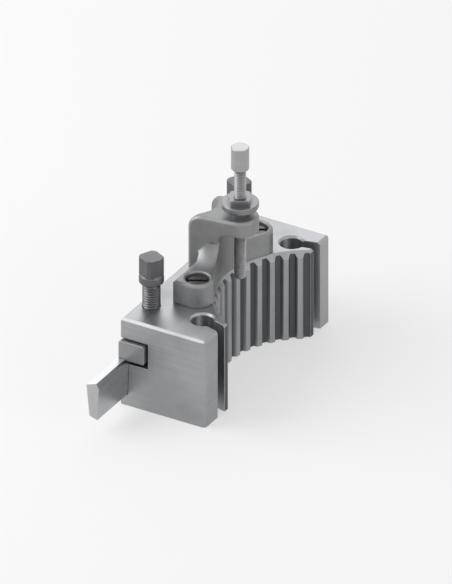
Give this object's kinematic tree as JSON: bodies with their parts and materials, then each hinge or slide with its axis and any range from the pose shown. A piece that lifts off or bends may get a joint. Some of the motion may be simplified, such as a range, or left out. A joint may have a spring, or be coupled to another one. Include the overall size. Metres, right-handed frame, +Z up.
{
  "type": "parting tool holder",
  "caption": "Quick-change parting tool holder: steel block with toothed hooked seat, clamped parting blade, cast bracket with height stop.",
  "frame": {"origin": "on the base, in the middle of the wall behind the tooth roots, at the mid-plane of the toothed arc", "axes": "+X from the blade side to the toothed side, +Y from the blade's cutting end to the rear, +Z up from the base to the height stop"},
  "size_m": [0.0517, 0.168, 0.133],
  "materials": {
    "block": "ground",
    "blade": "fine ground",
    "bar": "ground",
    "screws": "blackened, worn",
    "casting": "fine cast, machined edges",
    "small_screws": "blackened",
    "pins": "ground",
    "stud": "threaded, bright",
    "cap": "turned",
    "nut": "turned"
  },
  "bodies": {
    "holder": {"holder_body": "block", "stop_bracket": "casting", "front_foot_screw": "small_screws", "rear_foot_screw": "small_screws", "front_dowel": "pins", "rear_dowel": "pins"},
    "blade": {"parting_blade": "blade"},
    "bar": {"clamp_bar": "bar"},
    "front_screw": {"front_clamp_screw": "screws"},
    "rear_screw": {"rear_clamp_screw": "screws"},
    "stud": {"height_stud": "stud", "stud_cap": "cap"},
    "nut": {"lock_nut": "nut"}
  },
  "joints": [
    {"name": "blade_slide", "type": "slide", "parent": "holder", "child": "blade", "axis": [0, 1, 0], "range_m": [-0.02, 0.02]},
    {"name": "bar_lift", "type": "slide", "parent": "holder", "child": "bar", "axis": [0, 0, 1], "range_m": [0, 0.0006]},
    {"name": "front_screw_turn", "type": "hinge", "parent": "bar", "child": "front_screw", "pos_m": [-0.0055, -0.0475, 0.06], "axis": [0, 0, 1], "range_deg": [0, 144]},
    {"name": "rear_screw_turn", "type": "hinge", "parent": "bar", "child": "rear_screw", "pos_m": [-0.0055, 0.0441, 0.06], "axis": [0, 0, 1], "range_deg": [0, 144]},
    {"name": "height_adjust", "type": "slide", "parent": "holder", "child": "stud", "axis": [0, 0, 1], "range_m": [-0.015, 0.025]},
    {"name": "lock_nut_turn", "type": "hinge", "parent": "holder", "child": "nut", "pos_m": [0.0208, 0, 0.095], "axis": [0, 0, 1], "range_deg": [0, 180]}
  ],
  "couplings": [
    {"joint": "front_screw_turn", "follows": "bar_lift", "rad_per_m": 4188.8},
    {"joint": "rear_screw_turn", "follows": "bar_lift", "rad_per_m": 4188.8}
  ]
}
